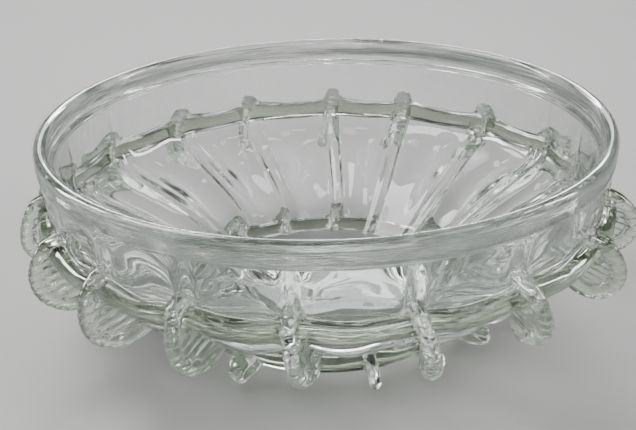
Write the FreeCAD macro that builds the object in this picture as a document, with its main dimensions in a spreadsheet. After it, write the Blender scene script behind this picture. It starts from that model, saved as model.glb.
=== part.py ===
"""Art glass bowl with a thick lip band, two wrapped trails and two tiers of ribbed fins.

Frame: +Z up, origin on the axis of the bowl, in the plane the foot stands on.
Azimuths are measured round the axis from the front (-Y), positive towards +X.
"""
import FreeCAD, Part
import math
import os
import Sketcher

V = FreeCAD.Vector
PARTS_FOLDER = "parts"
FLUTED_SHARE = 0.93  # a fluted blade holds less than this share of its plate
SEATED_SHARE = 0.85  # a seated fin holds less than this share of its blade
MOST_ATTEMPTS = 3  # times that a fin is built again before the build gives up
CLOSE = 1e-6  # millimetres within which two places count as one

# Driving dimensions, in millimetres and degrees. Every alias is a cell of the sheet.
SIZES = {
    # lip band round the mouth
    "total_height": 92.0,
    "lip_outer_radius": 125.0,
    "lip_inner_radius": 119.0,
    "lip_foot_outer_radius": 124.0,
    "lip_drop": 11.5,
    "lip_shoulder_drop": 3.0,
    "lip_stria_radius": 0.45,
    "lip_stria_start": 1.5,
    "lip_stria_count": 5,
    "lip_stria_span": 5.6,
    # bowl wall: collar, shoulder, funnel and foot
    "collar_top_outer_radius": 123.0,
    "collar_top_inner_radius": 117.0,
    "collar_bottom_outer_radius": 119.0,
    "collar_bottom_outer_height": 52.0,
    "collar_bottom_inner_radius": 114.5,
    "collar_bottom_inner_height": 57.0,
    "shoulder_outer_radius": 100.0,
    "shoulder_outer_height": 34.0,
    "shoulder_outer_bend": 26.0,
    "shoulder_inner_radius": 95.0,
    "shoulder_inner_height": 41.0,
    "shoulder_inner_bend": 27.0,
    "funnel_outer_radius": 80.0,
    "funnel_outer_height": 24.0,
    "funnel_inner_radius": 55.0,
    "funnel_inner_height": 20.0,
    "waist_radius": 60.0,
    "waist_height": 6.0,
    "waist_bend": 42.0,
    "floor_radius": 28.0,
    "floor_height": 10.5,
    "floor_bend": 75.0,
    "foot_outer_radius": 58.0,
    "foot_inner_radius": 47.0,
    "foot_recess": 3.0,
    # trails, round rods wrapped on the wall
    "upper_trail_ring_radius": 121.2,
    "upper_trail_height": 55.0,
    "upper_trail_rod_radius": 4.6,
    "lower_trail_ring_radius": 64.5,
    "lower_trail_height": 11.0,
    "lower_trail_rod_radius": 4.0,
    # fins of the upper tier
    "upper_fin_thickness": 5.6,
    "upper_fin_edge_round": 2.1,
    "upper_fin_top_height": 67.0,
    "upper_fin_tip_radius": 136.0,
    "upper_fin_tip_height": 48.0,
    "upper_fin_bottom_height": 32.0,
    "upper_fin_root_low_radius": 110.5,
    "upper_fin_root_low_height": 41.0,
    "upper_fin_root_high_radius": 115.9,
    "upper_fin_root_high_height": 62.0,
    "upper_fin_flute_spacing": 3.3,
    "upper_fin_flute_count": 9,
    "upper_fin_flute_start": 34.5,
    # fins of the lower tier
    "lower_fin_thickness": 5.0,
    "lower_fin_edge_round": 1.6,
    "lower_fin_top_height": 18.5,
    "lower_fin_tip_radius": 82.5,
    "lower_fin_tip_height": 10.5,
    "lower_fin_bottom_height": 2.8,
    "lower_fin_root_low_radius": 58.5,
    "lower_fin_root_low_height": 8.0,
    "lower_fin_root_high_radius": 58.5,
    "lower_fin_root_high_height": 12.0,
    "lower_fin_flute_spacing": 2.7,
    "lower_fin_flute_count": 5,
    "lower_fin_flute_start": 4.5,
    # shallow flutes pressed into both faces of every fin
    "flute_radius": 1.3,
    "flute_depth": 0.45,
    "flute_length": 60.0,
    "flute_overhang": 12.0,
    "flute_slope": 14.0,
}

# Each fin was set by hand, so each tier is a little uneven:
# azimuth, lean of its foot towards larger azimuths, extra reach of its tip.
UPPER_FINS = [
    (-161, 11, 0.0), (-143, 13, 0.5), (-121, 10, -0.2), (-101, 12, 0.4), (-85, 9, 0.0),
    (-65, 12, 1.2), (-46, 11, 1.5), (-27, 12, 1.0), (-6.5, 13, 0.8), (15.3, 15, 0.6),
    (36.5, 13, 1.0), (60, 11, 1.4), (81, 10, 0.0), (102, 12, -0.1), (117, 13, 0.0),
    (138, 10, 0.4), (160, 12, 0.0), (178, 11, -0.2),
]
LOWER_FINS = [
    (-29.5, 9, 0.5), (-9.5, 12, 0.8), (12.5, 10, 0.4), (34, 8, 0.0), (55, 11, 0.3),
    (76, 9, -0.4), (96, 10, 0.2), (116, 12, 0.0), (136, 8, 0.5), (156.5, 10, -0.3),
    (177, 11, 0.0), (197.5, 9, 0.4), (219, 12, 0.0), (240.5, 10, -0.4), (262, 8, 0.3),
    (283.5, 11, 0.0), (307.5, 10, 0.5),
]


def make_sheet(doc):
    """Fill a spreadsheet with the driving dimensions, one alias to a row."""
    sheet = doc.addObject("Spreadsheet::Sheet", "sizes")
    cells = dict(SIZES)
    for tier, fins in (("upper", UPPER_FINS), ("lower", LOWER_FINS)):
        for number, (azimuth, lean, reach) in enumerate(fins, 1):
            cells[f"{tier}_fin_azimuth_{number:02d}"] = azimuth
            cells[f"{tier}_fin_lean_{number:02d}"] = lean
            cells[f"{tier}_fin_reach_{number:02d}"] = reach
    for row, (alias, value) in enumerate(cells.items(), 1):
        sheet.set(f"A{row}", alias)
        sheet.set(f"B{row}", str(value))
        sheet.setAlias(f"B{row}", alias)
    doc.recompute()
    return sheet


def upright_sketch(body, name):
    """A sketch on the body's own XZ plane: x is the radius and y is the height."""
    sketch = body.newObject("Sketcher::SketchObject", name)
    plane = [item for item in body.Origin.OriginFeatures if item.Role == "XZ_Plane"][0]
    sketch.AttachmentSupport = [(plane, "")]
    sketch.MapMode = "FlatFace"
    return sketch


def bind(sketch, kind, *where, to):
    """Add a dimension to the sketch and tie it to an expression of the sheet."""
    number = sketch.addConstraint(Sketcher.Constraint(kind, *where))
    sketch.setExpression(f"Constraints[{number}]", to)


def draw_outline(sketch, sheet, points, bends=None):
    """Close an outline through the points, each given as two expressions of the sheet.

    bends maps the number of an edge to how it bows: ("radius", expression, side) is an
    arc of that radius, and ("upright", which) an arc that stands upright at that end.
    """
    bends = bends or {}
    places = [V(evaluate(sheet, x), evaluate(sheet, y), 0) for x, y in points]
    count = len(points)
    ends = []
    for edge in range(count):
        start, end = places[edge], places[(edge + 1) % count]
        if edge in bends:
            centre, anticlockwise = arc_centre(start, end, bends[edge], sheet)
            ends.append(add_arc(sketch, start, end, centre, anticlockwise))
        else:
            number = sketch.addGeometry(Part.LineSegment(start, end), False)
            ends.append((number, 1, 2))
    for edge in range(count):
        here, before = ends[edge], ends[edge - 1]
        sketch.addConstraint(
            Sketcher.Constraint("Coincident", before[0], before[2], here[0], here[1])
        )
    for (number, first, _), (x, y), place in zip(ends, points, places):
        if abs(place.x) < CLOSE:
            sketch.addConstraint(Sketcher.Constraint("PointOnObject", number, first, -2))
        else:
            bind(sketch, "DistanceX", -1, 1, number, first, place.x, to=x)
        if abs(place.y) < CLOSE:
            sketch.addConstraint(Sketcher.Constraint("PointOnObject", number, first, -1))
        else:
            bind(sketch, "DistanceY", -1, 1, number, first, place.y, to=y)
    for edge, bend in bends.items():
        number, first, last = ends[edge]
        if bend[0] == "radius":
            bind(sketch, "Radius", number, evaluate(sheet, bend[1]), to=bend[1])
        else:
            upright_end = first if bend[1] == "start" else last
            sketch.addConstraint(
                Sketcher.Constraint("Horizontal", number, upright_end, number, 3)
            )


def evaluate(sheet, expression):
    """The number that an expression of the sheet stands for now."""
    return float(sheet.evalExpression(expression))


def arc_centre(start, end, bend, sheet):
    """Centre of the arc between two points, and whether it runs anticlockwise."""
    if bend[0] == "radius":
        radius = evaluate(sheet, bend[1])
        along = end - start
        middle = (start + end) * 0.5
        across = V(-along.y, along.x, 0).normalize()
        height = math.sqrt(radius ** 2 - (along.Length / 2) ** 2)
        centre = middle + across * height * bend[2]
        return centre, bend[2] > 0
    fixed, other = (start, end) if bend[1] == "start" else (end, start)
    run, rise = other.x - fixed.x, other.y - fixed.y
    reach = (run ** 2 + rise ** 2) / (2 * run)
    centre = V(fixed.x + reach, fixed.y, 0)
    turn = (start - centre).cross(end - centre).z
    return centre, turn >= 0


def add_arc(sketch, start, end, centre, anticlockwise):
    """Add an arc and return its number with the ends that lie at start and at end."""
    first, last = (start, end) if anticlockwise else (end, start)
    radius = (start - centre).Length
    angles = [math.atan2(p.y - centre.y, p.x - centre.x) for p in (first, last)]
    if angles[1] < angles[0]:
        angles[1] += 2 * math.pi
    circle = Part.Circle(centre, V(0, 0, 1), radius)
    number = sketch.addGeometry(Part.ArcOfCircle(circle, *angles), False)
    return (number, 1, 2) if anticlockwise else (number, 2, 1)


def revolve(body, sketch, name):
    """Turn the sketch once round the upright axis of its own plane."""
    turned = body.newObject("PartDesign::Revolution", name)
    turned.Profile = sketch
    turned.ReferenceAxis = (sketch, ["V_Axis"])
    turned.Angle = 360
    sketch.Visibility = False


def make_bowl(doc, sheet):
    """The blown bowl: steep collar, round shoulder, funnel, thick floor and foot ring."""
    body = doc.addObject("PartDesign::Body", "bowl_body")
    body.Label = "bowl_body"
    sketch = upright_sketch(body, "bowl_profile")
    collar_top = "sizes.total_height - sizes.lip_drop"
    points = [
        ("0", "sizes.foot_recess"),
        ("sizes.foot_inner_radius - sizes.foot_recess", "sizes.foot_recess"),
        ("sizes.foot_inner_radius", "0"),
        ("sizes.foot_outer_radius", "0"),
        ("sizes.waist_radius", "sizes.waist_height"),
        ("sizes.funnel_outer_radius", "sizes.funnel_outer_height"),
        ("sizes.shoulder_outer_radius", "sizes.shoulder_outer_height"),
        ("sizes.collar_bottom_outer_radius", "sizes.collar_bottom_outer_height"),
        ("sizes.collar_top_outer_radius", collar_top),
        ("sizes.collar_top_inner_radius", collar_top),
        ("sizes.collar_bottom_inner_radius", "sizes.collar_bottom_inner_height"),
        ("sizes.shoulder_inner_radius", "sizes.shoulder_inner_height"),
        ("sizes.funnel_inner_radius", "sizes.funnel_inner_height"),
        ("sizes.floor_radius", "sizes.floor_height"),
        ("0", "sizes.floor_height"),
    ]
    bends = {
        4: ("radius", "sizes.waist_bend", -1),
        6: ("radius", "sizes.shoulder_outer_bend", 1),
        10: ("radius", "sizes.shoulder_inner_bend", -1),
        12: ("radius", "sizes.floor_bend", -1),
    }
    draw_outline(sketch, sheet, points, bends)
    revolve(body, sketch, "bowl_turned")
    return body


def make_lip(doc, sheet):
    """The lip band: a rounded bead on top, standing on the collar, with fine striae."""
    body = doc.addObject("PartDesign::Body", "lip_wrap")
    body.Label = "lip_wrap"
    sketch = upright_sketch(body, "lip_profile")
    bottom = "sizes.total_height - sizes.lip_drop"
    shoulder = "sizes.total_height - sizes.lip_shoulder_drop"
    points = [
        ("sizes.collar_top_inner_radius", bottom),
        ("sizes.lip_foot_outer_radius", bottom),
        ("sizes.lip_outer_radius", shoulder),
        ("sizes.lip_inner_radius", shoulder),
    ]
    draw_outline(sketch, sheet, points, {2: ("upright", "start")})
    revolve(body, sketch, "lip_turned")
    cut_lip_striae(body, sheet)
    return body


def cut_lip_striae(body, sheet):
    """Fine grooves, one above the other, round the outside of the lip band."""
    sketch = upright_sketch(body, "lip_stria")
    radius = evaluate(sheet, "sizes.lip_stria_radius")
    ring = evaluate(sheet, "sizes.lip_foot_outer_radius")
    first_row = "sizes.total_height - sizes.lip_drop + sizes.lip_stria_start"
    height = evaluate(sheet, first_row)
    circle = sketch.addGeometry(Part.Circle(V(ring, height, 0), V(0, 0, 1), radius), False)
    bind(sketch, "Radius", circle, radius, to="sizes.lip_stria_radius")
    bind(sketch, "DistanceX", -1, 1, circle, 3, ring,
         to="sizes.lip_foot_outer_radius + sizes.lip_stria_radius / 2")
    bind(sketch, "DistanceY", -1, 1, circle, 3, height, to=first_row)
    groove = body.newObject("PartDesign::Groove", "lip_stria_cut")
    groove.Profile = sketch
    groove.ReferenceAxis = (sketch, ["V_Axis"])
    groove.Angle = 360
    sketch.Visibility = False
    rows = body.newObject("PartDesign::LinearPattern", "lip_striae")
    rows.Originals = [groove]
    rows.Direction = (sketch, ["V_Axis"])
    rows.setExpression("Length", "sizes.lip_stria_span")
    rows.setExpression("Occurrences", "sizes.lip_stria_count")
    body.Tip = rows


def make_trail(doc, sheet, tier, bowl):
    """A round rod wrapped once round the wall, cut where the wall is, and its rod."""
    rod = doc.addObject("PartDesign::Body", f"{tier}_rod")
    sketch = upright_sketch(rod, f"{tier}_rod_section")
    ring = evaluate(sheet, f"sizes.{tier}_trail_ring_radius")
    height = evaluate(sheet, f"sizes.{tier}_trail_height")
    radius = evaluate(sheet, f"sizes.{tier}_trail_rod_radius")
    circle = sketch.addGeometry(Part.Circle(V(ring, height, 0), V(0, 0, 1), radius), False)
    bind(sketch, "Radius", circle, radius, to=f"sizes.{tier}_trail_rod_radius")
    bind(sketch, "DistanceX", -1, 1, circle, 3, ring, to=f"sizes.{tier}_trail_ring_radius")
    bind(sketch, "DistanceY", -1, 1, circle, 3, height, to=f"sizes.{tier}_trail_height")
    revolve(rod, sketch, f"{tier}_rod_turned")
    trail = doc.addObject("Part::Cut", f"{tier}_trail")
    trail.Label = f"{tier}_trail"
    trail.Base = rod
    trail.Tool = bowl
    return trail, rod


def make_fin(doc, sheet, tier, number, seat):
    """One ribbed half-leaf fin, cut to sit on its trail and on the wall."""
    key = f"sizes.{tier}_fin_"
    blade = doc.addObject("PartDesign::Body", f"{tier}_blade_{number:02d}")
    sketch = upright_sketch(blade, f"{tier}_blade_outline_{number:02d}")
    tip = f"{key}tip_radius + {key}reach_{number:02d}"
    points = [
        (f"{tip} - ({key}tip_height - {key}bottom_height)", key + "bottom_height"),
        (tip, key + "tip_height"),
        (f"{tip} - ({key}top_height - {key}tip_height)", key + "top_height"),
        (key + "root_high_radius", key + "root_high_height"),
        (key + "root_low_radius", key + "root_low_height"),
    ]
    draw_outline(sketch, sheet, points, {0: ("upright", "end"), 1: ("upright", "start")})
    plate = blade.newObject("PartDesign::Pad", f"{tier}_plate_{number:02d}")
    plate.Profile = sketch
    plate.Midplane = True
    plate.setExpression("Length", key + "thickness")
    sketch.Visibility = False
    doc.recompute([plate])
    rounded = blade.newObject("PartDesign::Fillet", f"{tier}_edge_{number:02d}")
    seat_radius = max(
        evaluate(sheet, key + "root_high_radius"), evaluate(sheet, key + "root_low_radius")
    )
    rims = [
        f"Edge{index}"
        for index, edge in enumerate(plate.Shape.Edges, 1)
        if is_rim(edge, seat_radius)
    ]
    rounded.Base = (plate, rims)
    rounded.setExpression("Radius", key + "edge_round")
    press_flutes(blade, sheet, tier, number, sketch)
    stand_fin(blade, tier, number)
    fin = doc.addObject("Part::Cut", f"{tier}_fin_{number:02d}")
    fin.Label = f"{tier}_fin_{number:02d}"
    fin.Base = blade
    fin.Tool = seat
    return fin


def is_rim(edge, seat_radius):
    """Whether an edge of a flat blade runs along one of its faces, clear of its seat."""
    ends = [vertex.Point for vertex in edge.Vertexes]
    along_a_face = abs(ends[0].y - ends[-1].y) < CLOSE
    return along_a_face and max(end.x for end in ends) > seat_radius + CLOSE


def press_flutes(blade, sheet, tier, number, sketch):
    """Shallow flutes across both faces of a blade, one above the other."""
    key = f"sizes.{tier}_fin_"
    slope = evaluate(sheet, "sizes.flute_slope")
    rise = "sizes.flute_length / 2 * tan(sizes.flute_slope)"
    flutes = []
    for side, word in ((1, "left"), (-1, "right")):
        flute = blade.newObject("PartDesign::SubtractiveCylinder", f"{tier}_{word}_{number:02d}")
        flute.setExpression("Radius", "sizes.flute_radius")
        flute.setExpression("Height", "sizes.flute_length")
        flute.Placement = FreeCAD.Placement(V(0, 0, 0), FreeCAD.Rotation(V(0, 1, 0), 90 + slope))
        flute.setExpression("Placement.Base.x", f"{key}root_low_radius - sizes.flute_overhang")
        offset = f"({key}thickness / 2 + sizes.flute_radius - sizes.flute_depth)"
        flute.setExpression("Placement.Base.y", f"{side} * {offset}")
        flute.setExpression("Placement.Base.z", f"{key}flute_start + {rise}")
        flutes.append(flute)
    rows = blade.newObject("PartDesign::LinearPattern", f"{tier}_flutes_{number:02d}")
    rows.Originals = flutes
    rows.Direction = (sketch, ["V_Axis"])
    rows.setExpression("Length", f"{key}flute_spacing * ({key}flute_count - 1)")
    rows.setExpression("Occurrences", key + "flute_count")
    blade.Tip = rows


def stand_fin(blade, tier, number):
    """Turn a blade to its azimuth and lean it about the middle of its seat."""
    key = f"sizes.{tier}_fin_"
    azimuth = f"{key}azimuth_{number:02d}"
    lean = f"{key}lean_{number:02d}"
    middle = f"{key}tip_height"
    sideways = f"({middle} * sin({lean}))"
    turn = f"rotation(vector(0; 0; 1); {azimuth} - 90)"
    tilt = f"rotation(vector(1; 0; 0); {lean})"
    blade.setExpression(
        "Placement",
        f"placement(vector(0; 0; 0); {turn})"
        f" * placement(vector(0; {sideways}; {middle} * (1 - cos({lean}))); {tilt})",
    )


def make_seat(doc, tier, bowl, rod):
    """What the fins of a tier sit on: the wall together with the rod of its trail."""
    seat = doc.addObject("Part::Fuse", f"{tier}_seat")
    seat.Base = bowl
    seat.Tool = rod
    return seat


def is_seated(doc, fin):
    """Whether a fin's flutes and its seat were really cut, judged by what each removed."""
    blade = fin.Base
    plate = doc.getObject(blade.Name.replace("blade", "plate"))
    fluted = blade.Shape.Volume < FLUTED_SHARE * plate.Shape.Volume
    return fluted and fin.Shape.isValid() and fin.Shape.Volume < SEATED_SHARE * blade.Shape.Volume


def settle_fins(doc, fins):
    """Build again, feature by feature, any fin whose cuts did not take the first time."""
    for fin in fins:
        attempts = 0
        while not is_seated(doc, fin) and attempts < MOST_ATTEMPTS:
            for feature in fin.Base.Group:
                feature.touch()
            fin.Tool.touch()
            fin.touch()
            doc.recompute()
            attempts += 1
        if not is_seated(doc, fin):
            raise RuntimeError(f"{fin.Label} is not cut to its seat")


def check_document(doc, nodes):
    """Stop before anything is written if an object or a node is not sound."""
    for item in doc.Objects:
        states = set(item.State)
        if states & {"Invalid", "Error"}:
            raise RuntimeError(f"{item.Name} did not build: {item.State}")
    for node in nodes:
        shape = node.Shape
        if shape.isNull() or not shape.isValid() or len(shape.Solids) != 1:
            raise RuntimeError(f"{node.Label} is not one sound solid ({len(shape.Solids)})")


def main():
    """Build the bowl and write one STEP file for each of its pieces."""
    doc = FreeCAD.newDocument("art_glass_bowl")
    sheet = make_sheet(doc)
    bowl = make_bowl(doc, sheet)
    nodes = [bowl, make_lip(doc, sheet)]
    for tier, fins in (("upper", UPPER_FINS), ("lower", LOWER_FINS)):
        trail, rod = make_trail(doc, sheet, tier, bowl)
        seat = make_seat(doc, tier, bowl, rod)
        nodes.append(trail)
        nodes += [make_fin(doc, sheet, tier, number + 1, seat) for number in range(len(fins))]
    doc.recompute()
    settle_fins(doc, [node for node in nodes if "fin" in node.Name])
    check_document(doc, nodes)
    os.makedirs(PARTS_FOLDER, exist_ok=True)
    for node in nodes:
        node.Shape.exportStep(os.path.join(PARTS_FOLDER, f"{node.Label}.step"))
        print(f"{node.Label}: {node.Shape.Volume / 1000:.2f} cm3")


main()
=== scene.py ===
"""The look of an art glass bowl: clear hot-worked glass with a banded lip, two wrapped
trails and two tiers of ribbed fins, all fused to one another.

Lengths are in millimetres until a mesh is made. Azimuths are in radians round the bowl's
axis from the front (-Y), positive towards +X.
"""
import math

import bmesh
import bpy
import numpy as np
from mathutils import Matrix, Vector


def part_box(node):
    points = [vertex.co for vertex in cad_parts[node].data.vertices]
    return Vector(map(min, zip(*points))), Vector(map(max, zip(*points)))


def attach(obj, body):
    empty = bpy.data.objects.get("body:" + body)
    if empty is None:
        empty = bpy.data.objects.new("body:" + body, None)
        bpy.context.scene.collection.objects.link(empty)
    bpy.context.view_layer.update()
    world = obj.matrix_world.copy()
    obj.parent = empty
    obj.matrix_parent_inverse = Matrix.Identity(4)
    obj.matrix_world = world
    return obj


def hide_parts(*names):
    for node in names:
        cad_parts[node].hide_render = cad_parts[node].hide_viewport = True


MM = 0.001
GLASS, FUSED = 0, 1  # material indices of every piece
BODY, UPPER_TRAIL, LOWER_TRAIL, UPPER_FINS, LOWER_FINS = range(5)  # where a face came from
COLUMNS = 576  # columns of every piece that goes right round the bowl
WELD = 2e-6  # vertices nearer to each other than this, in metres, are made one
SLIVER = 1e-6  # edges shorter than this, in metres, are dissolved


# ---------------------------------------------------------------- frame

def box_mm(node):
    """Lowest and highest corner of a CAD node, in millimetres."""
    low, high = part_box(node)
    return np.array(low) / MM, np.array(high) / MM


def fin_azimuths(tier):
    """Azimuth of each fin of a tier, from where its CAD node stands."""
    names = sorted(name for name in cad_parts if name.startswith(f"{tier}_fin_"))
    azimuths = []
    for name in names:
        low, high = box_mm(name)
        centre = (low + high) / 2
        azimuths.append(math.atan2(centre[0], -centre[1]))
    return names, np.array(azimuths)


# ---------------------------------------------------------------- lines and waves

def smooth_line(points, steps):
    """A smooth line through the points, with so many steps to each span."""
    points = np.array(points, float)
    ends = np.vstack([2 * points[0] - points[1], points, 2 * points[-1] - points[-2]])
    line = []
    for before, start, end, after in zip(ends, ends[1:], ends[2:], ends[3:]):
        for t in np.arange(steps) / steps:
            line.append(0.5 * (
                2 * start + (end - before) * t
                + (2 * before - 5 * start + 4 * end - after) * t ** 2
                + (3 * start - before - 3 * end + after) * t ** 3
            ))
    line.append(points[-1])
    return np.array(line)


def smooth_step(x):
    """0 below 0, 1 above 1 and a soft step between."""
    x = np.clip(x, 0, 1)
    return x * x * (3 - 2 * x)


def ring_wave(azimuth, seed, finest):
    """A gentle hand-made unevenness round the bowl, about -1 to 1, closed on itself.

    finest is the number of waves round the bowl of its finest part.
    """
    random = np.random.default_rng(seed)
    wave = np.zeros_like(azimuth)
    for turns in range(1, finest + 1):
        wave += random.normal() * np.cos(turns * azimuth + random.uniform(0, 2 * math.pi)) / turns
    return wave / 1.6


def fin_phase(azimuth, fins):
    """A phase that is whole at each fin and goes up by one from fin to fin."""
    order = np.sort(fins)
    knots = np.concatenate([[order[-1] - 2 * math.pi], order, [order[0] + 2 * math.pi]])
    return np.interp(wrap(azimuth), knots, np.arange(len(knots)))


def wrap(azimuth):
    """The azimuth brought between -pi and pi."""
    return (azimuth + math.pi) % (2 * math.pi) - math.pi


def near_fins(azimuth, fins, width):
    """1 at each fin, falling away to either side over the width, in radians."""
    gap = np.abs(wrap(azimuth[..., None] - fins)).min(-1)
    return np.exp(-(gap / width) ** 2)


# ---------------------------------------------------------------- meshes

def link_object(name, data):
    """An object in the scene, made of a mesh, a light or a camera."""
    item = bpy.data.objects.new(name, data)
    bpy.context.scene.collection.objects.link(item)
    return item


def make_object(name, vertices, faces, source, fused=None):
    """A mesh object from vertices in millimetres, with a source and a material per face."""
    mesh = bpy.data.meshes.new(name)
    mesh.from_pydata((np.asarray(vertices) * MM).tolist(), [], faces)
    mesh.attributes.new("source", "INT", "FACE")
    mesh.attributes["source"].data.foreach_set("value", np.full(len(faces), source, np.int32))
    if fused is not None:
        mesh.polygons.foreach_set("material_index", np.asarray(fused, np.int32))
    mesh.materials.append(None)
    mesh.materials.append(None)
    return link_object(name, mesh)


def turn_profile(name, profile, moved, source, fused_rows=()):
    """A closed solid turned from a profile that starts and ends on the axis.

    moved(azimuth, row) gives how far the surface stands out along the profile's normal.
    """
    azimuth = np.arange(COLUMNS) * 2 * math.pi / COLUMNS
    slope = np.gradient(profile[:, :2], axis=0)
    normal = np.stack([slope[:, 1], -slope[:, 0]], 1)
    normal /= np.linalg.norm(normal, axis=1)[:, None]
    rows = len(profile)
    vertices = [(0, 0, profile[0, 1])]
    for row in range(1, rows - 1):
        out = moved(azimuth, row)
        radius = profile[row, 0] + out * normal[row, 0]
        height = profile[row, 1] + out * normal[row, 1]
        ring = np.stack([radius * np.sin(azimuth), -radius * np.cos(azimuth), height], 1)
        vertices.extend(ring.tolist())
    vertices.append((0, 0, profile[-1, 1]))
    faces, fused = [], []
    last = len(vertices) - 1
    for column in range(COLUMNS):
        after = (column + 1) % COLUMNS
        faces.append((0, 1 + after, 1 + column))
        fused.append(GLASS)
        for row in range(rows - 3):
            here, above = 1 + row * COLUMNS, 1 + (row + 1) * COLUMNS
            faces.append((here + column, here + after, above + after, above + column))
            fused.append(FUSED if row + 1 in fused_rows else GLASS)
        top = 1 + (rows - 3) * COLUMNS
        faces.append((top + column, top + after, last))
        fused.append(GLASS)
    return make_object(name, vertices, faces, source, fused)


def ring_sweep(name, section, source, fused_sides=()):
    """A closed ring. section(azimuth) gives radii and heights, a row to each column."""
    azimuth = np.arange(COLUMNS) * 2 * math.pi / COLUMNS
    radius, height = section(azimuth[:, None])
    sides = radius.shape[1]
    vertices = np.stack(
        [radius * np.sin(azimuth)[:, None], -radius * np.cos(azimuth)[:, None], height], 2
    ).reshape(-1, 3)
    faces, fused = [], []
    for column in range(COLUMNS):
        here, there = column * sides, (column + 1) % COLUMNS * sides
        for side in range(sides):
            after = (side + 1) % sides
            faces.append((here + side, there + side, there + after, here + after))
            fused.append(FUSED if side in fused_sides else GLASS)
    return make_object(name, vertices, faces, source, fused)


def boolean(first, second, operation):
    """The mesh that a boolean of two closed objects gives, as a new object."""
    modifier = first.modifiers.new("boolean", "BOOLEAN")
    modifier.operation = operation
    modifier.solver = "MANIFOLD"
    modifier.object = second
    evaluated = first.evaluated_get(bpy.context.evaluated_depsgraph_get())
    mesh = bpy.data.meshes.new_from_object(evaluated)
    first.modifiers.remove(modifier)
    return link_object(first.name + "_cut", mesh)


def drop(*objects):
    """Remove working objects."""
    for item in objects:
        bpy.data.objects.remove(item)


def face_values(mesh, name):
    """The values of a whole-number face attribute."""
    values = np.zeros(len(mesh.polygons), np.int32)
    mesh.attributes[name].data.foreach_get("value", values)
    return values


def material_indices(mesh):
    """The material index of every face."""
    values = np.zeros(len(mesh.polygons), np.int32)
    mesh.polygons.foreach_get("material_index", values)
    return values


def gather(name, parts):
    """One object from several (object, face mask, material or None) with welded seams."""
    whole = bmesh.new()
    for item, mask, material in parts:
        mesh = item.data.copy()
        if material is not None:
            indices = material_indices(mesh)
            indices[mask] = material
            mesh.polygons.foreach_set("material_index", indices)
        piece = bmesh.new()
        piece.from_mesh(mesh)
        piece.faces.ensure_lookup_table()
        dropped = [piece.faces[number] for number in np.nonzero(~mask)[0]]
        bmesh.ops.delete(piece, geom=dropped, context="FACES")
        piece.to_mesh(mesh)
        piece.free()
        whole.from_mesh(mesh)
        bpy.data.meshes.remove(mesh)
    bmesh.ops.remove_doubles(whole, verts=whole.verts, dist=WELD)
    bmesh.ops.dissolve_degenerate(whole, edges=whole.edges, dist=SLIVER)
    mesh = bpy.data.meshes.new(name)
    whole.to_mesh(mesh)
    whole.free()
    mesh.materials.append(None)
    mesh.materials.append(None)
    return link_object(name, mesh)


def imprint(item, cutter, own):
    """The same solid, with its own faces that lie inside the cutter marked as fused."""
    outside = boolean(item, cutter, "DIFFERENCE")
    inside = boolean(item, cutter, "INTERSECT")
    parts = [
        (outside, np.isin(face_values(outside.data, "source"), own), None),
        (inside, np.isin(face_values(inside.data, "source"), own), FUSED),
    ]
    result = gather(item.name, parts)
    drop(outside, inside)
    return result


def carry_normals(piece, original):
    """Shade a cut piece with the normals of the smooth surface that it was cut from."""
    original.data.shade_smooth()
    piece.data.shade_smooth()
    modifier = piece.modifiers.new("normals", "DATA_TRANSFER")
    modifier.object = original
    modifier.use_loop_data = True
    modifier.data_types_loops = {"CUSTOM_NORMAL"}
    modifier.loop_mapping = "POLYINTERP_NEAREST"
    evaluated = piece.evaluated_get(bpy.context.evaluated_depsgraph_get())
    old = piece.data
    piece.data = bpy.data.meshes.new_from_object(evaluated)
    piece.modifiers.clear()
    bpy.data.meshes.remove(old)


def fuse_foreign(item, own):
    """Mark as fused every face that a cut left behind."""
    mesh = item.data
    indices = material_indices(mesh)
    indices[~np.isin(face_values(mesh, "source"), own)] = FUSED
    mesh.polygons.foreach_set("material_index", indices)


def finish_piece(piece, name, glass, slot, *nodes):
    """Give a piece its name and materials, put it in the frame and hide the CAD nodes it stands
    for.
    """
    piece.name = name
    mesh = piece.data
    mesh.name = name
    while len(mesh.materials) < 2:
        mesh.materials.append(None)
    mesh.materials[GLASS] = glass
    mesh.materials[FUSED] = MATERIALS["fused_joint"]
    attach(piece, "root")
    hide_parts(*nodes)


# ---------------------------------------------------------------- materials

MATERIALS = {}


def new_material(name):
    """An empty node material and its output."""
    material = bpy.data.materials.new(name)
    material.use_nodes = True
    nodes = material.node_tree.nodes
    nodes.clear()
    output = nodes.new("ShaderNodeOutputMaterial")
    return material, nodes, material.node_tree.links, output


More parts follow.
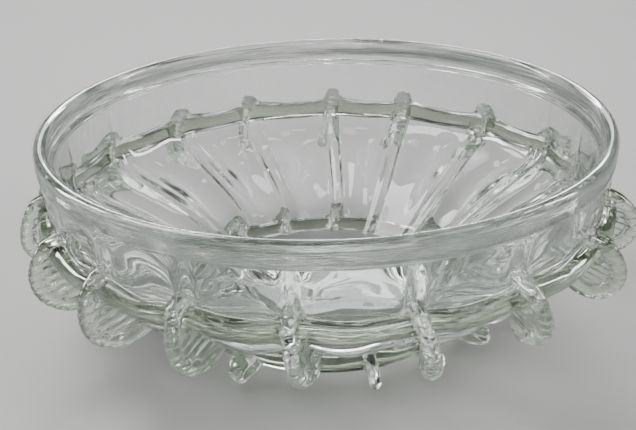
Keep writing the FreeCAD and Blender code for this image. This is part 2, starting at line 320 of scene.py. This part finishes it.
def glass_material(name, pale, deep, edge, edge_blend, ripple, ripple_scale, roughness):
    """Clear glass whose tint drifts between two colours and deepens where it is seen edge-on.

    The edge tint is partly the longer way that light takes through a slanted wall and partly
    painted shade, standing in for the dark edge lines of clear glass. The skin has soft ripples.
    Returns the nodes that hold the tint and the ripples.
    """
    material, nodes, links, output = new_material(name)
    shader = nodes.new("ShaderNodeBsdfPrincipled")
    shader.inputs["Transmission Weight"].default_value = 1.0
    shader.inputs["IOR"].default_value = 1.5
    place = nodes.new("ShaderNodeTexCoord")
    drift = nodes.new("ShaderNodeTexNoise")
    drift.inputs["Scale"].default_value = 18.0
    drift.inputs["Detail"].default_value = 2.0
    tint = nodes.new("ShaderNodeValToRGB")
    tint.color_ramp.elements[0].position = 0.3
    tint.color_ramp.elements[0].color = (*deep, 1)
    tint.color_ramp.elements[1].position = 0.7
    tint.color_ramp.elements[1].color = (*pale, 1)
    wave = nodes.new("ShaderNodeTexNoise")
    wave.inputs["Scale"].default_value = ripple_scale
    wave.inputs["Detail"].default_value = 1.0
    bump = nodes.new("ShaderNodeBump")
    bump.inputs["Strength"].default_value = ripple
    bump.inputs["Distance"].default_value = MM
    gloss = nodes.new("ShaderNodeMapRange")
    gloss.inputs["To Min"].default_value = 0.0
    gloss.inputs["To Max"].default_value = roughness
    links.new(place.outputs["Object"], drift.inputs["Vector"])
    links.new(place.outputs["Object"], wave.inputs["Vector"])
    links.new(drift.outputs["Fac"], tint.inputs["Fac"])
    # Painted shade: the tint goes towards the edge colour where the glass is seen edge-on, partly
    # for the longer path through it.
    slant = nodes.new("ShaderNodeLayerWeight")
    slant.inputs["Blend"].default_value = edge_blend
    shade = nodes.new("ShaderNodeMix")
    shade.data_type = "RGBA"
    shade.inputs["B"].default_value = (*edge, 1)
    links.new(slant.outputs["Facing"], shade.inputs["Factor"])
    links.new(tint.outputs["Color"], shade.inputs["A"])
    links.new(shade.outputs["Result"], shader.inputs["Base Color"])
    links.new(drift.outputs["Fac"], gloss.inputs["Value"])
    links.new(gloss.outputs["Result"], shader.inputs["Roughness"])
    links.new(wave.outputs["Fac"], bump.inputs["Height"])
    links.new(bump.outputs["Normal"], shader.inputs["Normal"])
    links.new(shader.outputs["BSDF"], output.inputs["Surface"])
    MATERIALS[name] = material
    return shade, bump


def add_drawn_lines_and_painted_shade(name, shade, bump):
    """Fine level lines in the lip band: grooves that the gatherer's turning left, and painted shade
    that darkens the glass along them.
    """
    tree = MATERIALS[name].node_tree
    nodes, links = tree.nodes, tree.links
    place = nodes.new("ShaderNodeTexCoord")
    stretch = nodes.new("ShaderNodeMapping")
    stretch.inputs["Scale"].default_value = (7.0, 7.0, 620.0)
    lines = nodes.new("ShaderNodeTexNoise")
    lines.inputs["Scale"].default_value = 1.0
    lines.inputs["Detail"].default_value = 3.0
    # Painted shade: dark lines multiplied into the glass colour along the grooves.
    depth = nodes.new("ShaderNodeValToRGB")
    depth.color_ramp.elements[0].position = 0.40
    depth.color_ramp.elements[0].color = (0.42, 0.45, 0.42, 1)
    depth.color_ramp.elements[1].position = 0.52
    depth.color_ramp.elements[1].color = (1, 1, 1, 1)
    darken = nodes.new("ShaderNodeMix")
    darken.data_type = "RGBA"
    darken.blend_type = "MULTIPLY"
    darken.inputs["Factor"].default_value = 1.0
    grooves = nodes.new("ShaderNodeBump")
    grooves.inputs["Strength"].default_value = 0.5
    grooves.inputs["Distance"].default_value = 0.4 * MM
    shader = [node for node in nodes if node.type == "BSDF_PRINCIPLED"][0]
    links.new(place.outputs["Object"], stretch.inputs["Vector"])
    links.new(stretch.outputs["Vector"], lines.inputs["Vector"])
    links.new(lines.outputs["Fac"], depth.inputs["Fac"])
    links.new(lines.outputs["Fac"], grooves.inputs["Height"])
    links.new(shade.outputs["Result"], darken.inputs["A"])
    links.new(depth.outputs["Color"], darken.inputs["B"])
    links.new(darken.outputs["Result"], shader.inputs["Base Color"])
    links.new(bump.outputs["Normal"], grooves.inputs["Normal"])
    links.new(grooves.outputs["Normal"], shader.inputs["Normal"])


def fused_material():
    """The hidden faces where two pieces melted together: no optical boundary is left."""
    material, nodes, links, output = new_material("fused_joint")
    clear = nodes.new("ShaderNodeBsdfTransparent")
    links.new(clear.outputs["BSDF"], output.inputs["Surface"])
    MATERIALS["fused_joint"] = material


def floor_material():
    """A plain pale floor, very slightly uneven in tone."""
    material, nodes, links, output = new_material("pale_floor")
    shader = nodes.new("ShaderNodeBsdfPrincipled")
    shader.inputs["Roughness"].default_value = 0.6
    place = nodes.new("ShaderNodeTexCoord")
    noise = nodes.new("ShaderNodeTexNoise")
    noise.inputs["Scale"].default_value = 3.0
    tone = nodes.new("ShaderNodeValToRGB")
    tone.color_ramp.elements[0].color = (0.54, 0.53, 0.52, 1)
    tone.color_ramp.elements[1].color = (0.60, 0.59, 0.58, 1)
    links.new(place.outputs["Object"], noise.inputs["Vector"])
    links.new(noise.outputs["Fac"], tone.inputs["Fac"])
    links.new(tone.outputs["Color"], shader.inputs["Base Color"])
    links.new(shader.outputs["BSDF"], output.inputs["Surface"])
    MATERIALS["pale_floor"] = material


def make_materials():
    """Every material of the scene."""
    # edge: the tint where the glass is seen edge-on, partly deeper glass colour and partly painted
    # shade.
    glass_material(
        "clear_glass", pale=(0.94, 0.96, 0.95), deep=(0.87, 0.905, 0.885),
        edge=(0.34, 0.38, 0.35), edge_blend=0.36, ripple=0.25, ripple_scale=45.0, roughness=0.01,
    )
    lip = glass_material(
        "lip_glass", pale=(0.93, 0.955, 0.94), deep=(0.85, 0.89, 0.865),
        edge=(0.30, 0.34, 0.31), edge_blend=0.42, ripple=0.2, ripple_scale=60.0, roughness=0.01,
    )
    add_drawn_lines_and_painted_shade("lip_glass", *lip)
    glass_material(
        "trail_glass", pale=(0.27, 0.315, 0.23), deep=(0.11, 0.135, 0.09),
        edge=(0.10, 0.14, 0.08), edge_blend=0.55, ripple=0.35, ripple_scale=90.0, roughness=0.02,
    )
    glass_material(
        "fin_glass", pale=(0.88, 0.92, 0.86), deep=(0.72, 0.79, 0.70),
        edge=(0.20, 0.25, 0.19), edge_blend=0.60, ripple=0.3, ripple_scale=120.0, roughness=0.02,
    )
    fused_material()
    floor_material()


# ---------------------------------------------------------------- the bowl

LIP_SEAT = 80.5  # height of the level top of the wall, on which the lip band sits
LIP_TOP = 92.0
SEAT_STEPS = 6  # points across that level top
# radius, height, depth of the lobes between the fins, height of the ridge under each fin
OUTER_WALL = [
    (59.2, 2.0, 0.0, 0.0), (61.0, 6.0, 0.2, 0.3), (64.9, 12.8, 0.6, 0.9),
    (71.2, 19.6, 1.2, 1.6), (79.4, 25.4, 1.9, 2.0), (89.7, 30.2, 2.3, 2.1),
    (100.0, 34.2, 2.6, 2.0), (109.0, 38.5, 2.6, 1.6), (115.6, 44.5, 2.0, 1.2),
    (118.6, 51.0, 1.5, 1.0), (119.6, 57.0, 1.2, 1.0), (121.0, 66.0, 0.8, 0.8),
    (122.3, 75.0, 0.3, 0.3), (123.0, LIP_SEAT, 0.0, 0.0),
]
INNER_WALL = [
    (117.0, LIP_SEAT, 0.0, 0.0), (116.6, 77.0, 0.2, 0.1), (115.6, 70.0, 0.6, 0.3),
    (114.7, 63.0, 0.9, 0.5), (113.4, 57.0, 1.1, 0.7), (110.4, 52.0, 1.2, 0.8),
    (104.5, 48.0, 1.2, 0.9), (95.0, 43.6, 1.2, 0.9), (85.0, 39.0, 1.2, 0.9),
    (75.0, 33.8, 1.1, 0.9), (66.5, 28.6, 1.0, 0.8), (58.5, 22.8, 0.8, 0.6),
    (50.5, 17.7, 0.5, 0.4), (42.0, 14.0, 0.2, 0.2), (32.0, 11.6, 0.0, 0.0),
    (20.0, 10.7, 0.0, 0.0), (10.0, 10.5, 0.0, 0.0), (0.0, 10.5, 0.0, 0.0),
]
FOOT = [  # radius and height, from the axis out under the foot ring
    (0.0, 3.2), (8.0, 3.1), (20.0, 3.0), (32.0, 3.0), (42.0, 2.9), (44.6, 2.4), (46.2, 1.1),
    (47.2, 0.3), (48.4, 0.0), (52.5, 0.0), (56.6, 0.0), (57.8, 0.3), (58.6, 0.9),
]
LOBE_SWIRL = math.radians(3.0)  # how far the ridges drift round on their way to the foot
SWIRL_START, SWIRL_SPAN = 115, 60  # the radius where they start to drift, and how far in it takes
LOBE_BALANCE = 0.4  # share of a lobe's depth that goes inward
RIDGE_WIDTH = 2.2
WALL_UNEVENNESS = 0.35


def bowl_profile():
    """The bowl's section, from the axis under the foot to the axis inside.

    With it come the rows of the level top and the row where the inside starts.
    """
    foot = smooth_line(FOOT, 2)[:-1]
    foot = np.hstack([foot, np.zeros((len(foot), 2))])
    outer = smooth_line(OUTER_WALL, 7)
    inner = smooth_line(INNER_WALL, 6)
    across = np.linspace(outer[-1], inner[0], SEAT_STEPS)[1:-1]
    inner_start = len(foot) + len(outer)
    profile = np.vstack([foot, outer, across, inner])
    top_rows = range(inner_start - 1, inner_start + len(across))
    return profile, set(top_rows), inner_start


def make_bowl(fins):
    """The blown bowl, softly lobed between the fins, with a ridge running in from each."""
    profile, top_rows, inner_start = bowl_profile()

    def moved(azimuth, row):
        radius, height, lobe, ridge = profile[row]
        swirled = azimuth + LOBE_SWIRL * smooth_step((SWIRL_START - radius) / SWIRL_SPAN)
        phase = fin_phase(swirled, fins)
        out = lobe * (0.5 - 0.5 * np.cos(2 * math.pi * phase)) - LOBE_BALANCE * lobe
        out += ridge * near_fins(swirled, fins, RIDGE_WIDTH / max(radius, 20.0))
        seed = 31 if row >= inner_start else 17
        uneven = smooth_step((height - 2) / 20) * smooth_step((LIP_SEAT - height) / 8)
        out += WALL_UNEVENNESS * uneven * ring_wave(azimuth + 0.02 * height, seed, 9)
        return out

    return turn_profile("bowl", profile, moved, BODY, top_rows)


def lip_section():
    """The points round the lip band's section, which of them are its face, its fused sides."""
    seat = np.linspace((117.0, LIP_SEAT), (123.0, LIP_SEAT), SEAT_STEPS)
    ledge = np.array([(123.5, LIP_SEAT - 0.02), (124.0, LIP_SEAT + 0.3)])
    face = np.linspace((124.2, LIP_SEAT + 0.8), (124.9, LIP_TOP - 3.2), 42)
    angle = np.linspace(0, math.pi, 22)[1:-1]
    bead = np.stack([122.0 + 2.95 * np.cos(angle), LIP_TOP - 3.0 + 3.0 * np.sin(angle)], 1)
    inside = smooth_line(
        [(119.05, 89.0), (119.0, 86.5), (118.7, 84.0), (118.0, 82.3), (117.2, 81.3)], 5
    )
    section = np.vstack([seat, ledge, face, bead, inside])
    face_rows = np.arange(len(seat) + len(ledge), len(seat) + len(ledge) + len(face))
    return section, face_rows, set(range(len(seat) - 1))


def make_lip():
    """The lip band: a round bead over a band of fine, slightly wandering striae."""
    section, face_rows, fused_sides = lip_section()
    striae = 8
    middle = 0.6  # of the ripple, so that the face stays where it is

    def shape(azimuth):
        radius = np.repeat(section[:, 0][None], len(azimuth), 0)
        height = np.repeat(section[:, 1][None], len(azimuth), 0)
        share = (face_rows - face_rows[0]) / (len(face_rows) - 1)
        wander = 0.30 * ring_wave(azimuth, 5, 9) + 0.05 * ring_wave(3 * azimuth, 6, 5)
        ripple = np.abs(np.sin(math.pi * (striae * share[None] + wander * 2)))
        fade = np.sin(math.pi * np.clip(share, 0.02, 0.98)) ** 0.3
        depth = 0.42 + 0.12 * ring_wave(azimuth, 7, 6)
        radius[:, face_rows] += depth * (ripple - middle) * fade
        above = smooth_step((height - 81.0) / 8)
        height += above * 0.35 * ring_wave(azimuth, 8, 4)
        radius += above * 0.30 * ring_wave(azimuth, 9, 3)
        return radius, height

    return ring_sweep("lip", shape, BODY, fused_sides)


def make_trail(name, ring, height, rod, fins, seed, source, swell, sag):
    """A hand-laid rod round the wall, swelling at each fin and sagging between fins."""
    sides = 28
    swell_width = 0.06  # radians round the bowl
    angle = np.arange(sides) * 2 * math.pi / sides

    def shape(azimuth):
        around = ring_wave(azimuth, seed, 8)
        thick = rod + 0.25 * around + swell * near_fins(azimuth[:, 0], fins, swell_width)[:, None]
        sink = 0.5 * ring_wave(azimuth, seed + 1, 6)
        sink += sag * (0.5 * np.cos(2 * math.pi * fin_phase(azimuth, fins)) - 0.2)
        radius = ring + 0.2 * ring_wave(azimuth, seed + 2, 6) + thick * np.cos(angle)[None]
        level = height + sink + 1.06 * thick * np.sin(angle)[None]
        return radius, level

    return ring_sweep(name, shape, source)


# ---------------------------------------------------------------- fins

# A tier's blade. outline: radius and height round its free edge. steps, columns: of its mesh.
# border, centre: half its thickness at the border and in the middle. edge, band: how far in its
# rounding and its border reach. pivot: what it leans about. trail: radius, height and rod of the
# trail that it flares onto. drawn_from: the radius inside which it is drawn out thin.
UPPER = {
    "outline": [
        (116.2, 61.5), (119.6, 65.6), (123.6, 66.2), (129.6, 62.6), (134.2, 55.8),
        (136.2, 48.0), (134.9, 40.8), (130.6, 35.2), (124.6, 32.0), (117.6, 31.4),
        (111.0, 33.2), (105.6, 35.4), (103.0, 39.0),
    ],
    "steps": 11, "columns": 24, "border": 3.3, "edge": 3.1, "centre": 1.2,
    "band": 7.2, "rib_period": 3.3, "rib_depth": 0.8, "pivot": (119.5, 52.0),
    "trail": (121.2, 55.0, 4.6), "drawn_from": 114.0, "source": UPPER_FINS,
}
LOWER = {
    "outline": [
        (61.5, 13.5), (67.0, 17.3), (73.2, 18.7), (78.4, 16.8), (81.9, 12.8),
        (83.0, 9.2), (81.2, 5.3), (76.6, 3.1), (71.0, 3.1), (65.6, 4.8), (60.4, 7.6),
    ],
    "steps": 8, "columns": 18, "border": 2.4, "edge": 2.4, "centre": 1.4,
    "band": 6.0, "rib_period": 2.8, "rib_depth": 0.65, "pivot": (66.0, 10.5),
    "trail": (64.5, 11.0, 4.0), "drawn_from": 60.0, "source": LOWER_FINS,
}
RIB_SLOPE = math.tan(math.radians(16))
RIB_MIDDLE = 0.6  # of the rib wave, so that ribs stand as far out as in
SWEEP_RETURN = math.radians(1.3)  # brings the swept tip of a blade back to its azimuth
BLADE_SIZES = (0.93, 1.02)
OUTLINE_SHAKE = 0.35
SCALLOP = 0.3  # how far the ribs run out over the edge
FLARE_REACH = 3.5  # from the trail's skin
DRAWN_SHARE, DRAWN_SPAN = 0.65, 9  # of the thickness, and over what distance it goes
LEANS, TWISTS = (9, 15), (-13, -9)  # degrees
TAIL_SEAT = (123.2, 62.2)  # radius and height where a tail starts


def distance_to_line(points, line):
    """Distance of each point to a line of short straight runs."""
    best = np.full(len(points), np.inf)
    for start, end in zip(line, line[1:]):
        along = end - start
        share = np.clip(((points - start) @ along) / max(along @ along, 1e-9), 0, 1)
        best = np.minimum(best, np.linalg.norm(points - start - share[:, None] * along, axis=1))
    return best


def rib_wave(points, style, shift):
    """Pressed ribs across a blade: rounded crests with sharp valleys, 0 to 1."""
    across = points[..., 1] + (points[..., 0] - style["pivot"][0]) * RIB_SLOPE
    return np.abs(np.sin(math.pi * (across / style["rib_period"] + shift))) ** 0.8


def blade_points(style, random):
    """A blade's grid of points (radius, height) from its edge inward, its edge, its ribs' shift."""
    pivot = np.array(style["pivot"])
    size = random.uniform(*BLADE_SIZES)
    outline = np.array(style["outline"], float)
    middle = np.sin(np.linspace(0, math.pi, len(outline)))[:, None]
    outline += middle * random.normal(0, OUTLINE_SHAKE, outline.shape)
    free = smooth_step((outline[:, 0] - outline[0, 0]) / 12)[:, None]
    outline = outline + free * (size - 1) * (outline - pivot)
    line = smooth_line(outline, style["steps"])
    shift = random.uniform(0, 1)
    run = np.gradient(line, axis=0)
    outward = np.stack([-run[:, 1], run[:, 0]], 1)
    outward /= np.linalg.norm(outward, axis=1)[:, None]
    outward *= np.sign(((line - pivot) * outward).sum(1))[:, None]
    ends = np.sin(np.linspace(0, math.pi, len(line)))[:, None] ** 0.5
    ribs = rib_wave(line, style, shift)[:, None] - RIB_MIDDLE
    line = line + outward * ends * SCALLOP * ribs
    root = line[0] + smooth_step(np.linspace(0, 1, len(line)))[:, None] * (line[-1] - line[0])
    share = np.linspace(0, 1, style["columns"]) ** 1.6
    grid = line[:, None] + (root - line)[:, None] * share[None, :, None]
    return grid, line, shift


def blade_thickness(grid, line, style, shift):
    """Half the thickness of a blade: round thick border, thin ribbed middle, flared seat."""
    points = grid.reshape(-1, 2)
    depth = distance_to_line(points, line)
    edge = style["edge"]
    rounded = np.sqrt(np.clip(1 - (1 - np.clip(depth / edge, 0, 1)) ** 2, 0, 1))
    thin = smooth_step((depth - edge) / (style["band"] - edge))
    half = rounded * (style["border"] + thin * (style["centre"] - style["border"]))
    ribs = rib_wave(points, style, shift) - RIB_MIDDLE
    half += rounded * style["rib_depth"] * ribs * np.clip(depth / 1.2, 0, 1)
    ring, height, rod = style["trail"]
    to_trail = np.hypot(points[:, 0] - ring, points[:, 1] - height) - rod
    half += rounded * (1 - smooth_step(to_trail / FLARE_REACH))
    half *= 1 - DRAWN_SHARE * smooth_step((style["drawn_from"] - points[:, 0]) / DRAWN_SPAN)
    return np.maximum(half, 0).reshape(grid.shape[:2])


def blade_mesh(style, random):
    """One blade as vertices and faces, in its own upright plane and curled a little."""
    grid, line, shift = blade_points(style, random)
    half = blade_thickness(grid, line, style, shift)
    rows, columns = half.shape
    outward, upward = (grid[..., axis] - style["pivot"][axis] for axis in (0, 1))
    curl = random.uniform(0.6, 1.6) * (outward / 16) ** 2
    curl -= random.uniform(0.2, 0.9) * (upward / 16) ** 2
    sides = []
    for side in (1, -1):
        sides.append(np.stack([grid[..., 0], curl + side * half, grid[..., 1]], 2).reshape(-1, 3))
    vertices = np.vstack(sides)
    count = rows * columns
    faces = []
    for row in range(rows - 1):
        for column in range(columns - 1):
            a = row * columns + column
            b, c, d = a + 1, a + columns + 1, a + columns
            faces.append((a, b, c, d))
            faces.append((count + a, count + d, count + c, count + b))
        a, d = row * columns + columns - 1, (row + 1) * columns + columns - 1
        faces.append((a, count + a, count + d, d))
    return vertices, faces


def stand_blade(vertices, style, azimuth, random):
    """Lean a blade about its seat, turn it a little and stand it at its azimuth."""
    lean = math.radians(random.uniform(*LEANS))
    twist = math.radians(random.uniform(*TWISTS))
    ring, height = style["pivot"]
    tilt = Matrix.Rotation(lean, 3, "X")
    turn = Matrix.Rotation(azimuth + SWEEP_RETURN - math.pi / 2, 3, "Z")
    swing = Matrix.Rotation(twist, 3, "Z")
    pivot = np.array([ring, 0, height])
    placed = (vertices - pivot) @ np.array(tilt).T
    placed = placed @ np.array(swing).T + pivot
    return placed @ np.array(turn).T


def tail_mesh(azimuth, random):
    """The drawn-out tail of a fin, lying along the top of the trail beside it."""
    rings, sides = 16, 14
    seat_radius, seat_height = TAIL_SEAT
    length = math.radians(random.uniform(8, 12))
    fat = random.uniform(2.5, 3.1)
    vertices, faces = [], []
    for ring in range(rings):
        share = ring / (rings - 1)
        here = azimuth + math.radians(1.0) - share * length
        girth = fat * (1 - share) ** 0.6 * (0.85 + 0.15 * math.cos(5 * share)) + 0.25
        if ring == 0:
            girth *= 0.4
        radius = seat_radius - 1.2 * smooth_step(share * 2)
        height = seat_height - 2.6 * smooth_step(share * 2.2) - 1.2 * share
        for side in range(sides):
            angle = 2 * math.pi * side / sides
            out = radius + girth * math.cos(angle)
            vertices.append((
                out * math.sin(here), -out * math.cos(here), height + girth * math.sin(angle)
            ))
    for ring in range(rings - 1):
        for side in range(sides):
            after = (side + 1) % sides
            a, b = ring * sides + side, ring * sides + after
            faces.append((a, b, b + sides, a + sides))
    faces.append(tuple(reversed(range(sides))))
    faces.append(tuple(range((rings - 1) * sides, rings * sides)))
    return np.array(vertices), faces


def weld(item):
    """Merge doubled vertices of a new mesh and turn its faces outward."""
    edit = bmesh.new()
    edit.from_mesh(item.data)
    bmesh.ops.remove_doubles(edit, verts=edit.verts, dist=WELD)
    bmesh.ops.dissolve_degenerate(edit, edges=edit.edges, dist=SLIVER)
    bmesh.ops.recalc_face_normals(edit, faces=edit.faces)
    edit.to_mesh(item.data)
    edit.free()


def join_meshes(name, meshes, source):
    """One object from several separate meshes, each a pair of vertices and faces."""
    vertices, faces = [], []
    for points, quads in meshes:
        start = len(vertices)
        vertices.extend(points.tolist())
        faces.extend(tuple(start + corner for corner in quad) for quad in quads)
    item = make_object(name, vertices, faces, source)
    weld(item)
    return item


def make_fins(name, style, azimuths, seed, tails):
    """All the blades of a tier as one object, joined with their tails if they have any.

    A tail's random numbers are drawn either way, so that the blades are the same with or without.
    """
    random = np.random.default_rng(seed)
    blades, tail_parts = [], []
    for azimuth in azimuths:
        vertices, faces = blade_mesh(style, random)
        blades.append((stand_blade(vertices, style, azimuth, random), faces))
        tail_parts.append(tail_mesh(azimuth, random))
    fins = join_meshes(name, blades, style["source"])
    if not tails:
        return fins
    ends = join_meshes(name + "_tails", tail_parts, style["source"])
    whole = boolean(fins, ends, "UNION")
    drop(fins, ends)
    return whole


def split_fins(item, azimuths):
    """A separate object for each fin, by the azimuth that its faces are nearest to."""
    mesh = item.data
    centres = np.zeros(len(mesh.polygons) * 3)
    mesh.polygons.foreach_get("center", centres)
    centres = centres.reshape(-1, 3)
    here = np.arctan2(centres[:, 0], -centres[:, 1])
    behind = math.radians(4)  # a tail reaches back towards the fin before it
    nearest = np.abs(wrap(here[:, None] + behind - azimuths[None])).argmin(1)
    return [gather(f"{item.name}_{n}", [(item, nearest == n, None)]) for n in range(len(azimuths))]


# ---------------------------------------------------------------- assembly

def build_tier(tier, bowl, trail, style, azimuths, seed, tails):
    """The trail and the fins of a tier, cut to sit on the wall, and both as one cutter for it."""
    trail_source = UPPER_TRAIL if tier == "upper" else LOWER_TRAIL
    fins = make_fins(f"{tier}_fins", style, azimuths, seed, tails)
    cutter = boolean(trail, fins, "UNION")
    off_wall = boolean(fins, bowl, "DIFFERENCE")
    seated = boolean(off_wall, trail, "DIFFERENCE")
    fuse_foreign(seated, [style["source"]])
    bare = boolean(trail, bowl, "DIFFERENCE")
    fuse_foreign(bare, [trail_source])
    laid = imprint(bare, fins, [trail_source, BODY])
    drop(off_wall, bare)
    carry_normals(laid, trail)
    pieces = split_fins(seated, azimuths)
    for piece in pieces:
        carry_normals(piece, fins)
    drop(seated, fins)
    return laid, pieces, cutter


def build_bowl():
    """Make every piece of the bowl and put it in the frame."""
    upper_names, upper = fin_azimuths("upper")
    lower_names, lower = fin_azimuths("lower")
    bowl = make_bowl(upper)
    lip = make_lip()
    high = make_trail(
        "high", ring=121.2, height=55.0, rod=4.6, fins=upper, seed=41, source=UPPER_TRAIL,
        swell=0.5, sag=1.6,
    )
    low = make_trail(
        "low", ring=64.8, height=11.0, rod=4.0, fins=lower, seed=61, source=LOWER_TRAIL,
        swell=0.3, sag=0.6,
    )
    for item in (bowl, lip, high, low):
        weld(item)
    laid_high, high_fins, high_cutter = build_tier(
        "upper", bowl, high, UPPER, upper, seed=3, tails=True
    )
    laid_low, low_fins, low_cutter = build_tier(
        "lower", bowl, low, LOWER, lower, seed=4, tails=False
    )
    once = imprint(bowl, high_cutter, [BODY])
    twice = imprint(once, low_cutter, [BODY])
    carry_normals(twice, bowl)
    lip.data.shade_smooth()
    drop(bowl, once, high, low, high_cutter, low_cutter)
    finish_piece(twice, "bowl_body_glass", MATERIALS["clear_glass"], "clear_glass", "bowl_body")
    finish_piece(lip, "lip_wrap_glass", MATERIALS["lip_glass"], "clear_glass", "lip_wrap")
    for piece, tier in ((laid_high, "upper"), (laid_low, "lower")):
        name = f"{tier}_trail"
        finish_piece(piece, name + "_glass", MATERIALS["trail_glass"], "trail_glass", name)
    for names, fins in ((upper_names, high_fins), (lower_names, low_fins)):
        for name, fin in zip(names, fins):
            finish_piece(fin, name + "_glass", MATERIALS["fin_glass"], "fin_glass", name)


# ---------------------------------------------------------------- studio

CAMERA_DISTANCE = 0.600  # metres from the middle of the rim
CAMERA_ELEVATION = 0.348  # radians above the level of the rim
CAMERA_TURNS = {"yaw": 0.0067, "pitch": -0.0679, "roll": 0.0230}  # radians
CAMERA_LENS = 78.37  # focal length in millimetres
FLOOR_GAP = 0.0002  # metres that the floor lies under the foot


def make_camera(rim_centre):
    """The camera: it looks at the rim's centre, then turns by three small angles."""
    back = Vector((0, -math.cos(CAMERA_ELEVATION), math.sin(CAMERA_ELEVATION)))
    forward, right = -back, Vector((1, 0, 0))
    up = right.cross(forward)
    yaw = Matrix.Rotation(CAMERA_TURNS["yaw"], 3, up)
    forward, right = yaw @ forward, yaw @ right
    pitch = Matrix.Rotation(CAMERA_TURNS["pitch"], 3, right)
    forward, up = pitch @ forward, pitch @ up
    roll = Matrix.Rotation(CAMERA_TURNS["roll"], 3, forward)
    right, up = roll @ right, roll @ up
    data = bpy.data.cameras.new("camera")
    data.lens = CAMERA_LENS
    data.clip_start = 0.01
    camera = link_object("camera", data)
    axes = Matrix((right, up, -forward)).transposed().to_4x4()
    camera.matrix_world = Matrix.Translation(rim_centre + back * CAMERA_DISTANCE) @ axes
    bpy.context.scene.camera = camera


def softbox(name, place, target, width, height, brightness, lights_floor=False):
    """A large soft rectangular light that faces the target.

    Unless it lights the floor, it is seen in and through the glass only.
    """
    data = bpy.data.lights.new(name, "AREA")
    data.shape = "RECTANGLE"
    data.size, data.size_y = width, height
    data.energy = brightness * math.pi * width * height
    light = link_object(name, data)
    light.location = place
    light.visible_camera = False
    light.visible_diffuse = lights_floor
    aim = Vector(target) - Vector(place)
    light.rotation_euler = aim.to_track_quat("-Z", "Y").to_euler()
    return light


def make_world():
    """A grey surround that darkens overhead, so that edges of clear glass can be read."""
    world = bpy.data.worlds.new("surround")
    bpy.context.scene.world = world
    world.use_nodes = True
    nodes, links = world.node_tree.nodes, world.node_tree.links
    nodes.clear()
    place = nodes.new("ShaderNodeTexCoord")
    split = nodes.new("ShaderNodeSeparateXYZ")
    ramp = nodes.new("ShaderNodeValToRGB")
    ramp.color_ramp.elements[0].position = 0.0
    ramp.color_ramp.elements[0].color = (0.34, 0.34, 0.34, 1)
    ramp.color_ramp.elements[1].position = 0.5
    ramp.color_ramp.elements[1].color = (0.015, 0.015, 0.017, 1)
    low_sky = ramp.color_ramp.elements.new(0.2)
    low_sky.color = (0.06, 0.06, 0.063, 1)
    background = nodes.new("ShaderNodeBackground")
    background.inputs["Strength"].default_value = 0.8
    output = nodes.new("ShaderNodeOutputWorld")
    links.new(place.outputs["Generated"], split.inputs["Vector"])
    links.new(split.outputs["Z"], ramp.inputs["Fac"])
    links.new(ramp.outputs["Color"], background.inputs["Color"])
    links.new(background.outputs["Background"], output.inputs["Surface"])


def make_floor():
    """A wide round floor."""
    rings, sides, reach = 12, 96, 6.0
    edit = bmesh.new()
    centre = edit.verts.new((0, 0, 0))
    before = None
    for ring in range(1, rings + 1):
        radius = reach * (ring / rings) ** 2
        here = [
            edit.verts.new((radius * math.cos(a), radius * math.sin(a), 0))
            for a in (2 * math.pi * side / sides for side in range(sides))
        ]
        for side in range(sides):
            after = (side + 1) % sides
            if before is None:
                edit.faces.new((centre, here[side], here[after]))
            else:
                edit.faces.new((before[side], here[side], here[after], before[after]))
        before = here
    mesh = bpy.data.meshes.new("studio_floor")
    edit.to_mesh(mesh)
    edit.free()
    mesh.materials.append(MATERIALS["pale_floor"])
    floor = link_object("studio_floor", mesh)
    floor.location.z = -FLOOR_GAP


def make_studio():
    """Floor, surround, soft lights and camera."""
    rim_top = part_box("lip_wrap")[1].z
    centre = Vector((0, 0, rim_top))
    make_floor()
    make_world()
    softbox("key", (-0.7, 0.3, 1.3), centre, 0.7, 0.5, 12, lights_floor=True)
    softbox("fill", (0.9, -0.7, 1.2), centre, 0.7, 0.5, 4, lights_floor=True)
    wash = softbox("floor_wash", (0, 0, 3.2), centre, 12.0, 12.0, 0.5, lights_floor=True)
    wash.visible_glossy = False
    wash.visible_transmission = False
    softbox("left_reflector", (-1.2, 0.5, 0.7), centre, 0.18, 0.8, 46)
    softbox("right_reflector", (1.25, 0.2, 0.75), centre, 0.12, 0.9, 40)
    softbox("back_reflector", (0.1, 1.5, 0.85), centre, 1.4, 0.11, 50)
    softbox("back_panel", (-0.1, 1.8, 1.05), centre, 1.7, 0.6, 6)
    softbox("front_reflector", (0.0, -1.3, 1.15), centre, 1.2, 0.11, 40)
    make_camera(centre)
    cycles = bpy.context.scene.cycles
    cycles.max_bounces = 32
    cycles.transmission_bounces = 32
    cycles.glossy_bounces = 12
    cycles.transparent_max_bounces = 48


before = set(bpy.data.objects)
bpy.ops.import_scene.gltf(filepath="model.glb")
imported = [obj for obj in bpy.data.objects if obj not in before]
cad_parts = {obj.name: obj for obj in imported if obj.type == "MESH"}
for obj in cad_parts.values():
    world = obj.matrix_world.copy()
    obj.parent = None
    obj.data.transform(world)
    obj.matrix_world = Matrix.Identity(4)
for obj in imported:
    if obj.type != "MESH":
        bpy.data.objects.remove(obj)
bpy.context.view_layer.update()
make_materials()
build_bowl()
make_studio()
